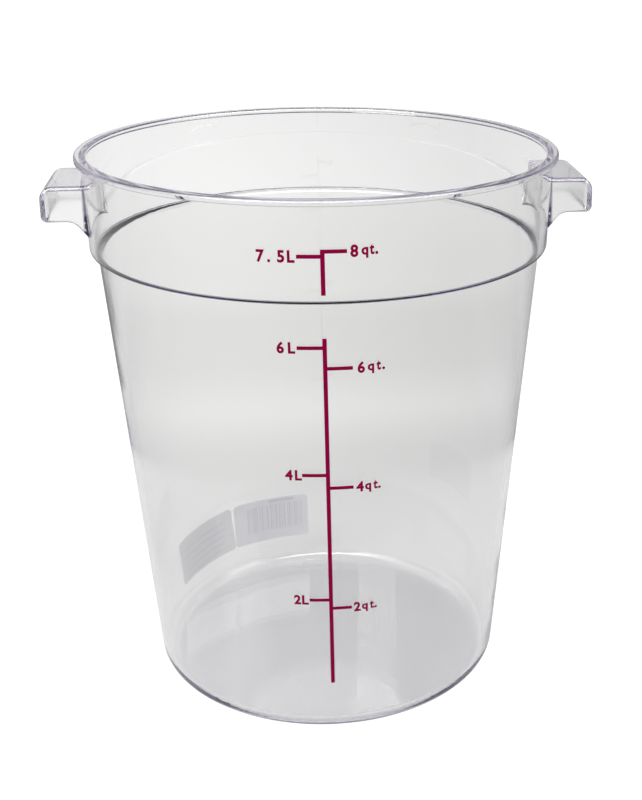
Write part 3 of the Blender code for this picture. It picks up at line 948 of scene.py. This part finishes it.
def make_world():
    """White to the camera, a plain soft light for the surfaces, and a dark studio with bright
    panels in what the plastic bends and mirrors."""
    world = bpy.data.worlds.new("studio")
    bpy.context.scene.world = world
    world.use_nodes = True
    tree = world.node_tree
    tree.nodes.clear()
    link = tree.links.new
    place = node(tree, "ShaderNodeTexCoord")
    across, along, height = coordinates(tree, place.outputs["Generated"])
    rays = node(tree, "ShaderNodeLightPath").outputs
    through = range_of(tree, height, *THROUGH_STRETCH, 1.0, 0.0)
    panel = combined(tree, "MULTIPLY",
                     range_of(tree, height, *PANEL_STRETCH, 1.0, 0.0),
                     range_of(tree, across, *PANEL_SIDES, PANEL_LEFT, PANEL_RIGHT))
    softbox = combined(tree, "MULTIPLY",
                       range_of(tree, height, *SOFTBOX_FOOT, 0.0, 1.0),
                       range_of(tree, height, *SOFTBOX_HEAD, 1.0, 0.0),
                       range_of(tree, along, *SOFTBOX_FRONT, 0.0, 1.0),
                       SOFTBOX)
    mirrored = combined(tree, "ADD", panel, softbox)
    strength = combined(tree, "ADD",
                        rays["Is Camera Ray"],
                        combined(tree, "MULTIPLY", mirrored_only(tree, rays), mirrored),
                        combined(tree, "MULTIPLY", rays["Is Transmission Ray"], through))
    others = combined(tree, "SUBTRACT", 1.0,
                      combined(tree, "MAXIMUM", rays["Is Camera Ray"], rays["Is Glossy Ray"],
                               rays["Is Transmission Ray"]))
    light = node(tree, "ShaderNodeBackground")
    shine = combined(tree, "ADD", strength, combined(tree, "MULTIPLY", others, ROOM_LIGHT))
    unseen = combined(tree, "SUBTRACT", 1.0, rays["Is Camera Ray"], others)
    colour = node(tree, "ShaderNodeCombineColor")
    for name, dark in zip(("Red", "Green", "Blue"), SKY_DARK):
        link(combined(tree, "ADD", shine, combined(tree, "MULTIPLY", unseen, dark)),
             colour.inputs[name])
    link(colour.outputs["Color"], light.inputs["Color"])
    out = node(tree, "ShaderNodeOutputWorld")
    link(light.outputs["Background"], out.inputs["Surface"])


def make_lamp(name, place, size, power):
    """Square area lamp that faces the tub."""
    lamp = bpy.data.lights.new(name, "AREA")
    lamp.size = size
    lamp.energy = power
    holder = bpy.data.objects.new(name, lamp)
    holder.location = place
    holder.rotation_euler = (Vector(LAMP_AIM) - Vector(place)).to_track_quat("-Z", "Y").to_euler()
    bpy.context.scene.collection.objects.link(holder)


def make_camera():
    """The photo's camera. Its heading is counted from +Y towards +X."""
    dip = CAMERA_DIP
    ahead = Vector((sin(CAMERA_HEADING) * cos(dip), cos(CAMERA_HEADING) * cos(dip), -sin(dip)))
    level = Vector((cos(CAMERA_HEADING), -sin(CAMERA_HEADING), 0))
    over = level.cross(ahead)
    right = cos(CAMERA_ROLL) * level + sin(CAMERA_ROLL) * over
    up = -sin(CAMERA_ROLL) * level + cos(CAMERA_ROLL) * over
    lens = bpy.data.cameras.new("camera")
    lens.sensor_width = SENSOR_mm
    lens.lens = LENS_mm
    lens.shift_x, lens.shift_y = LENS_SHIFT_share
    lens.clip_start = NEAREST_SEEN
    camera = bpy.data.objects.new("camera", lens)
    turn = Matrix((right, up, -ahead)).transposed().to_4x4()
    camera.matrix_world = Matrix.Translation(CAMERA_PLACE) @ turn
    bpy.context.scene.collection.objects.link(camera)
    bpy.context.scene.camera = camera


def main():
    make_camera()
    make_tub(clear_plastic_material())
    ink = ink_material()
    top_mark = max(share for _, wall, share, *_ in MARK_shares if wall == "collar")
    make_scale_line("ink_line_upper", "collar", wall_height("collar", UPPER_LINE_FOOT_share),
                    wall_height("collar", top_mark) + TICK_WIDTH / 2, ink, "scale_line_upper")
    make_scale_line("ink_line_lower", "body", wall_height("body", LOWER_LINE_FOOT_share),
                    wall_height("body", LOWER_LINE_TOP_share), ink, "scale_line_lower")
    make_characters(ink)
    paper = label_material()
    make_label("paper_label_left", 1, LEFT_LABEL_LIFT, LEFT_LABEL_TILT, paper, "label_left")
    make_label("paper_label_right", -1, RIGHT_LABEL_LIFT, RIGHT_LABEL_TILT, paper, "label_right")
    make_floor()
    make_world()
    make_lamp("key", place=(-0.9, -0.9, 1.3), size=0.8, power=9)
    make_lamp("fill", place=(1.2, -0.5, 0.9), size=0.9, power=5)
    bpy.context.scene.view_settings.view_transform = "Standard"
    cycles = bpy.context.scene.cycles
    cycles.max_bounces = cycles.transmission_bounces = cycles.glossy_bounces = BOUNCES
    cycles.transparent_max_bounces = BOUNCES


main()
